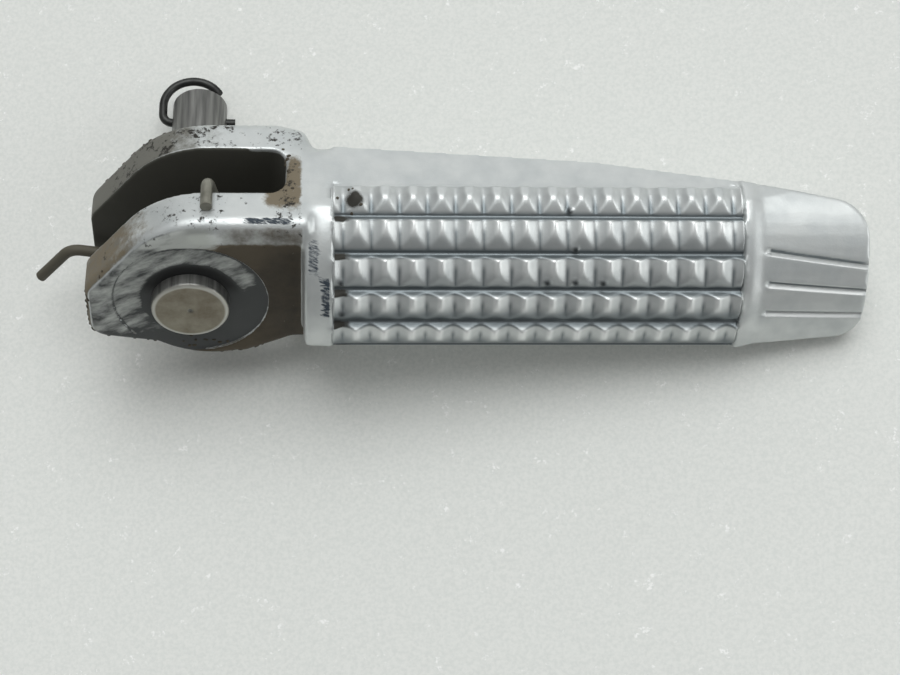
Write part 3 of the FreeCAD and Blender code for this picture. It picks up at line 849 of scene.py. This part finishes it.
crumbShape = {
    "density": 1600000.0,
    "size": 0.00036,
    "least": (0.5, 0.35, 0.25),
    "most": (1.1, 0.9, 0.6),
    "seed": 7,
}

crumbLook = {
    "pale": tone(96, 88, 74),
    "dark": tone(40, 37, 32),
}


def makeCrumbTree():
    tree, given, result = newGroup(
        "dirtCrumbs",
        [("Skin", "Geometry", None), ("Density", "Float", None),
         ("Crumb Size", "Float", None), ("Seed", "Int", None),
         ("Finish", "Material", None)],
        [("Crumbs", "Geometry")], "GeometryNodeTree")
    dirty = addNode(tree, "GeometryNodeInputNamedAttribute", {"Name": "crumbly"}, data_type="FLOAT")
    thick = mathNode(tree, "MULTIPLY", dirty.outputs[0], given["Density"])
    spread = addNode(tree, "GeometryNodeDistributePointsOnFaces",
                     {"Mesh": given["Skin"], "Density": thick, "Seed": given["Seed"]})
    crumb = addNode(tree, "GeometryNodeMeshIcoSphere", {"Radius": 1.0, "Subdivisions": 2})
    shape = addNode(tree, "FunctionNodeRandomValue",
                    {0: crumbShape["least"], 1: crumbShape["most"], "Seed": given["Seed"]},
                    data_type="FLOAT_VECTOR")
    scaled = addNode(tree, "ShaderNodeVectorMath", {0: shape.outputs[0], "Scale": given["Crumb Size"]},
                     operation="SCALE")
    laid = addNode(tree, "GeometryNodeInstanceOnPoints",
                   {"Points": spread.outputs["Points"], "Instance": crumb.outputs["Mesh"],
                    "Rotation": spread.outputs["Rotation"], "Scale": scaled.outputs[0]})
    coatShape(tree, laid.outputs[0], given["Finish"], result["Crumbs"])
    return tree


def makeCrumbSoil():
    material, tree, shader, place = newFinish("crumbSoil")
    grain = placeGroup(tree, grainGroup, {"Vector": place, "Scale": 3000.0})
    colour = mixColour(tree, grain["Cloud"], crumbLook["pale"], crumbLook["dark"])
    tree.links.new(colour, shader.inputs["Base Color"])
    shader.inputs["Roughness"].default_value = 0.9
    return material


def scatterCrumbs(casting):
    mesh = throughNodes("crumbSkin", casting.data, makeCrumbTree(), {
        "Density": crumbShape["density"], "Crumb Size": crumbShape["size"], "Seed": crumbShape["seed"],
        "Finish": makeCrumbSoil()})
    print("crumbs scattered,", len(mesh.polygons), "faces")
    return addPiece("dirtCrumbs", mesh, "footpeg", "cast_alloy")


# dull turned steel of the pin

pinLook = {
    "steel": tone(138, 138, 135),
    "steelDark": tone(98, 98, 96),
    "headTan": tone(142, 138, 124),
    "headSoil": tone(104, 93, 75),
    "brightRim": tone(196, 196, 190),
}


def makePinSteel():
    look = pinLook
    material, tree, shader, place = newFinish("pinSteel")
    grain = placeGroup(tree, grainGroup, {"Vector": place, "Scale": 1800.0})
    # fine draw lines run along the shank
    drawn = turnedPlace(tree, place, (-pinTilt, 0.0, 0.0), (1.0, 1.0, 0.06))
    lines = noiseNode(tree, drawn, 1400.0, 3.0)
    share = stretch(tree, lines, 0.35, 0.68)
    colour = mixColour(tree, share, look["steelDark"], look["steel"])
    colour = mixColour(tree, readMask(tree, "headFace"), colour, look["headTan"])
    soil = raggedMask(tree, place, "soil", 330.0, 0.4)
    colour = mixColour(tree, soil, colour, look["headSoil"])
    colour = mixColour(tree, readMask(tree, "rim"), colour, look["brightRim"])
    metal = mixValue(tree, soil, 0.75, 0.2)
    rough = mixValue(tree, grain["Cloud"], 0.3, 0.52)
    joinShader(tree, shader, colour, metal, rough, lines, 0.12, 0.0001)
    return material


pinShape = {
    "shank": 4.5,
    "head": 6.0,
    "end": -31.55,
    "seat": 11.25,
    "top": 13.65,
    "bevel": 0.6,
    "headRound": 0.5,
    "centreMark": 0.55,
    "segments": 112,
    "holePlace": -27.45,
    "holeRadius": 0.85,
}


def pinProfile():
    # radius and level of each ring, from the far end to the head's centre mark
    shape = pinShape
    shank, head, end, seat, top = (shape[key] for key in ("shank", "head", "end", "seat", "top"))
    bevel, rounding, mark = shape["bevel"], shape["headRound"], shape["centreMark"]
    rows = [(0.0, end), (shank - bevel, end), (shank - 0.12, end + bevel * 0.75), (shank, end + bevel)]
    shankRows = 14
    for step in range(1, shankRows):
        rows.append((shank, end + bevel + (seat - end - bevel) * step / shankRows))
    rows += [(shank, seat), (head - 0.15, seat), (head, seat + 0.15)]
    headRows = 6
    for step in range(headRows + 1):
        turn = math.radians(90 * step / headRows)
        rows.append((head - rounding * (1 - math.cos(turn)), top - rounding * (1 - math.sin(turn))))
    rows += [(head - rounding - 0.3, top + 0.005), (3.2, top + 0.02), (mark, top + 0.02)]
    return rows + [(mark * 0.45, top - 0.22), (0.0, top - 0.25)]


def latheMesh(name, rows, segments):
    work = bmesh.new()
    rings = []
    for radius, level in rows:
        if radius == 0:
            rings.append([work.verts.new(pinPlace(0, 0, level))])
            continue
        ring = []
        for step in range(segments):
            turn = 2 * math.pi * step / segments
            ring.append(work.verts.new(pinPlace(radius * math.cos(turn), radius * math.sin(turn), level)))
        rings.append(ring)
    for lower, upper in zip(rings, rings[1:]):
        for step in range(segments):
            after = (step + 1) % segments
            if len(lower) == 1:
                work.faces.new((lower[0], upper[after], upper[step]))
            elif len(upper) == 1:
                work.faces.new((lower[step], lower[after], upper[0]))
            else:
                work.faces.new((lower[step], lower[after], upper[after], upper[step]))
    bmesh.ops.recalc_face_normals(work, faces=work.faces)
    mesh = bpy.data.meshes.new(name)
    work.to_mesh(mesh)
    work.free()
    return mesh


def boreThrough(mesh, centre, radius, reach):
    # a round hole along X, as the clip's cross hole
    cutter = newObject("boreCutter", bpy.data.meshes.new("boreCutter"))
    turn = Matrix.Translation(centre) @ Matrix.Rotation(math.radians(90), 4, "Y")
    with editing(cutter.data) as work:
        bmesh.ops.create_cone(work, cap_ends=True, segments=40, radius1=radius, radius2=radius,
                              depth=2 * reach, matrix=turn)
    result = modified(mesh, "BOOLEAN", object=cutter, operation="DIFFERENCE", solver="EXACT")
    bpy.data.objects.remove(cutter)
    return result


def turnPin():
    shape = pinShape
    mesh = latheMesh("pivotPinMesh", pinProfile(), shape["segments"])
    mesh = boreThrough(mesh, pinPlace(0, 0, shape["holePlace"]), shape["holeRadius"] * mm, 8 * mm)
    smoothByAngle(mesh, 32)
    x, q, p = pinCoords(readCoords(mesh))
    radius = np.hypot(x, q)
    top = ramp(p, shape["top"] - 0.3, shape["top"] - 0.05)
    paint(mesh, "headFace", top)
    blotch = 0.43 + 0.05 * ramp(x, 0, 4)
    paint(mesh, "soil", top * blotch + 0.3 * (1 - top) * band(p, -10, 12, 2))
    paint(mesh, "rim", top * band(radius, 5.35, 5.9, 0.12) * 0.8)
    mesh.materials.clear()
    mesh.materials.append(makePinSteel())
    print("pin turned")
    return addPiece("pivotPinTurned", mesh, "pivot", "pin_steel", "pivot_pin")


# bent wire: a path swept by nodes

wireShape = {
    "sides": 28,
    "spacing": 0.00022,
}


def makeWireTree():
    tree, given, result = newGroup(
        "bentWire",
        [("Path", "Geometry", None), ("Wire Radius", "Float", None),
         ("Sides", "Int", None), ("Spacing", "Float", None),
         ("Finish", "Material", None)],
        [("Wire", "Geometry")], "GeometryNodeTree")
    even = addNode(tree, "GeometryNodeResampleCurve",
                   {"Curve": given["Path"], "Length": given["Spacing"]}, mode="LENGTH")
    ring = addNode(tree, "GeometryNodeCurvePrimitiveCircle",
                   {"Resolution": given["Sides"], "Radius": given["Wire Radius"]})
    swept = addNode(tree, "GeometryNodeCurveToMesh",
                    {"Curve": even.outputs[0], "Profile Curve": ring.outputs[0], "Fill Caps": True})
    smooth = addNode(tree, "GeometryNodeSetShadeSmooth", {"Geometry": swept.outputs[0]})
    coatShape(tree, smooth.outputs[0], given["Finish"], result["Wire"])
    return tree


wireTree = makeWireTree()


def sweepWire(name, points, radius, finish):
    curve = bpy.data.curves.new(name + "Path", "CURVE")
    curve.dimensions = "3D"
    spline = curve.splines.new("POLY")
    spline.points.add(len(points) - 1)
    for item, point in zip(spline.points, points):
        item.co = (*point, 1)
    mesh = throughNodes(name + "Path", curve, wireTree, {
        "Wire Radius": radius, "Sides": wireShape["sides"], "Spacing": wireShape["spacing"],
        "Finish": finish})
    with editing(mesh) as work:
        bmesh.ops.remove_doubles(work, verts=work.verts, dist=1e-7)
        bmesh.ops.recalc_face_normals(work, faces=work.faces)
    return mesh


def bentRoute(corners, bends):
    # straight runs joined by tangent arcs, as points
    route = [corners[0]]
    for before, corner, after, radius in zip(corners, corners[1:], corners[2:], bends):
        inward = (corner - before).normalized()
        outward = (after - corner).normalized()
        turn = inward.angle(outward)
        reach = radius * math.tan(turn / 2)
        bisector = (outward - inward).normalized()
        centre = corner + bisector * (radius / math.cos(turn / 2))
        first = corner - inward * reach
        axis = inward.cross(outward).normalized()
        for step in range(13):
            route.append(centre + Matrix.Rotation(turn * step / 12, 3, axis) @ (first - centre))
    route.append(corners[-1])
    return route


springShape = {
    "wire": 1.8,
    "coilRadius": 6.9,
    "pitch": 2.0,
    "turns": 2,
    "hookLean": 13,
    "hookRest": 18.0,
    "hookLength": 5.5,
    "hookBend": 1.6,
    "legLean": 7,
    "legStraight": 19.25,
    "legBend": 3.0,
    "legTurn": 60,
    "legTail": 8.9,
}

springLook = {
    "drawn": tone(170, 169, 158),
    "drawnDark": tone(120, 118, 108),
    "soil": tone(86, 82, 70),
}


def springRoute():
    shape = springShape
    radius = shape["coilRadius"]
    first = -90 - shape["legLean"]
    last = shape["hookLean"] + 360 * shape["turns"]
    height = shape["pitch"] * (last - first) / 360
    slope = shape["pitch"] / (2 * math.pi * radius)

    def onCoil(angle):
        around = math.radians(angle)
        level = -height / 2 + height * (angle - first) / (last - first)
        spot = Vector((radius * math.cos(around), radius * math.sin(around), level))
        ahead = Vector((-math.sin(around), math.cos(around), slope)).normalized()
        return spot, ahead

    root, ahead = onCoil(first)
    corner = root - ahead * shape["legStraight"]
    tail = corner + Matrix.Rotation(math.radians(shape["legTurn"]), 3, "Z") @ -ahead * shape["legTail"]
    route = bentRoute([tail, corner, root], [shape["legBend"]])
    coilSteps = 240
    route += [onCoil(first + (last - first) * step / coilSteps)[0] for step in range(1, coilSteps)]
    root, ahead = onCoil(last)
    corner = root + ahead * ((shape["hookRest"] - root.y) / ahead.y)
    end = corner + Vector((0, 0, shape["hookLength"]))
    route += bentRoute([root, corner, end], [shape["hookBend"]])
    return [pinPlace(*spot) for spot in route]


def makeWireSteel(name, look, rough):
    material, tree, shader, place = newFinish(name)
    grain = placeGroup(tree, grainGroup, {"Vector": place, "Scale": 2400.0})
    cloud = stretch(tree, grain["Cloud"], 0.35, 0.65)
    colour = mixColour(tree, cloud, look["drawn"], look["drawnDark"])
    soil = raggedMask(tree, place, "soil", 600.0, 0.4)
    colour = mixColour(tree, soil, colour, look["soil"])
    metal = mixValue(tree, soil, 0.7, 0.15)
    roughness = mixValue(tree, soil, rough, 0.65)
    joinShader(tree, shader, colour, metal, roughness, grain["Height"], 0.15, 0.0001)
    return material


def windSpring():
    finish = makeWireSteel("springSteel", springLook, 0.42)
    mesh = sweepWire("returnSpring", springRoute(), springShape["wire"] / 2 * mm, finish)
    x, q, p = pinCoords(readCoords(mesh))
    soil = 0.25 + 0.5 * (1 - ramp(x, -20, -6)) + 0.4 * (1 - ramp(np.hypot(x, q), 7, 9))
    paint(mesh, "soil", np.clip(soil, 0, 1))
    print("spring wound")
    return addPiece("returnSpringWire", mesh, "footpeg", "spring_steel", "return_spring")


clipShape = {
    "wire": 1.4,
    "level": -27.45,
    "lean": 13,
    "side": 6.1,
    "stub": 5.9,
    "bend": 1.7,
    "rise": 3.3,
    "loopRadius": 4.95,
    "stop": 30,
}

clipLook = {
    "drawn": tone(66, 67, 65),
    "drawnDark": tone(38, 39, 38),
    "soil": tone(30, 29, 27),
}


def clipRoute():
    shape = clipShape
    lean = math.radians(shape["lean"])
    rise = Vector((0, math.sin(lean), -math.cos(lean)))

    def place(across, up):
        return Vector((across, 0, shape["level"])) + rise * up

    side = shape["side"]
    radius = shape["loopRadius"]
    loopRoot = place(-side, shape["rise"])
    route = bentRoute([place(shape["stub"], 0), place(-side, 0), loopRoot], [shape["bend"]])
    loopSteps = 48
    for step in range(1, loopSteps + 1):
        around = math.radians(180 + (shape["stop"] - 180) * step / loopSteps)
        across = radius - side + radius * math.cos(around)
        route.append(place(across, shape["rise"] + radius * math.sin(around)))
    return [pinPlace(*spot) for spot in route]


def bendClip():
    finish = makeWireSteel("clipSteel", clipLook, 0.36)
    mesh = sweepWire("ringClip", clipRoute(), clipShape["wire"] / 2 * mm, finish)
    paint(mesh, "soil", np.full(len(mesh.vertices), 0.35))
    print("clip bent")
    return addPiece("ringClipWire", mesh, "pivot", "clip_steel", "ring_clip")


# floor, light and camera

stageLook = {
    "board": tone(231, 232, 228),
    "boardGrain": tone(222, 224, 220),
    "boardGlint": tone(250, 250, 248),
    # the part rests on its pin's end, its clevis and its tip
    "restNormal": (-0.1845, 0.3308, 0.9255),
    "restDrop": -17.15,
    "boardHalf": 0.9,
    "ambient": 0.195,
    "daylight": tone(250, 252, 252),
}

# soft bright patches of the room: direction, half width in degrees, fade in degrees, level
roomPatches = [
    ((-0.04, 0.68, 0.73), 13, 17, 3.8),
    ((0.0, 1.0, 0.05), 20, 35, 0.47),
    ((0.9, 0.22, 0.4), 8, 12, 3.0),
    ((0.86, -0.37, 0.35), 9, 12, 2.0),
    ((-0.7, 0.2, 0.6), 10, 22, 0.4),
]


def makeBoard():
    look = stageLook
    material, tree, shader, place = newFinish("paleBoard")
    share = stretch(tree, noiseNode(tree, place, 1700.0, 4.0), 0.38, 0.66)
    colour = mixColour(tree, share, look["board"], look["boardGrain"])
    glint = placeGroup(tree, speckleGroup, {"Vector": place, "Mask": 0.42, "Scale": 1500.0})["Mask"]
    colour = mixColour(tree, glint, colour, look["boardGlint"])
    tree.links.new(colour, shader.inputs["Base Color"])
    shader.inputs["Roughness"].default_value = 0.8
    mesh = bpy.data.meshes.new("paleBoard")
    normal = Vector(look["restNormal"]).normalized()
    turn = Vector((0, 0, 1)).rotation_difference(normal).to_matrix()
    half = look["boardHalf"]
    spots = [turn @ Vector((across * half, up * half, 0)) + normal * look["restDrop"] * mm
             for across, up in ((-1, -1), (1, -1), (1, 1), (-1, 1))]
    mesh.from_pydata(spots, [], [(0, 1, 2, 3)])
    mesh.materials.append(material)
    board = newObject("paleBoard", mesh)


def lightStage():
    world = bpy.data.worlds.new("room")
    world.use_nodes = True
    tree = world.node_tree
    direction = addNode(tree, "ShaderNodeTexCoord").outputs["Generated"]
    level = stageLook["ambient"]
    for aim, half, fade, strength in roomPatches:
        aim = Vector(aim).normalized()
        toward = addNode(tree, "ShaderNodeVectorMath", {0: direction, 1: tuple(aim)}, operation="DOT_PRODUCT")
        patch = addNode(tree, "ShaderNodeMapRange",
                        {"Value": toward.outputs["Value"], "From Min": math.cos(math.radians(half + fade)),
                         "From Max": math.cos(math.radians(half)), "To Max": strength},
                        interpolation_type="SMOOTHSTEP").outputs[0]
        level = mathNode(tree, "ADD", patch, level)
    background = tree.nodes["Background"]
    background.inputs["Color"].default_value = stageLook["daylight"]
    tree.links.new(level, background.inputs["Strength"])
    scene.world = world


cameraSetup = {
    "place": (0.018345, 0.015406, 0.317972),
    "turn": (-0.0944, -0.0696, 0.0070),
    "lens": 80.0,
    "sensor": 36.0,
}


def aimCamera():
    data = bpy.data.cameras.new("photoCamera")
    data.lens = cameraSetup["lens"]
    data.sensor_width = cameraSetup["sensor"]
    data.sensor_fit = "HORIZONTAL"
    data.clip_start = 0.01
    scene.camera = newObject("photoCamera", data)
    scene.camera.location = cameraSetup["place"]
    scene.camera.rotation_euler = cameraSetup["turn"]


casting = castBar()
scatterCrumbs(casting)
turnPin()
windSpring()
bendClip()
makeBoard()
lightStage()
aimCamera()
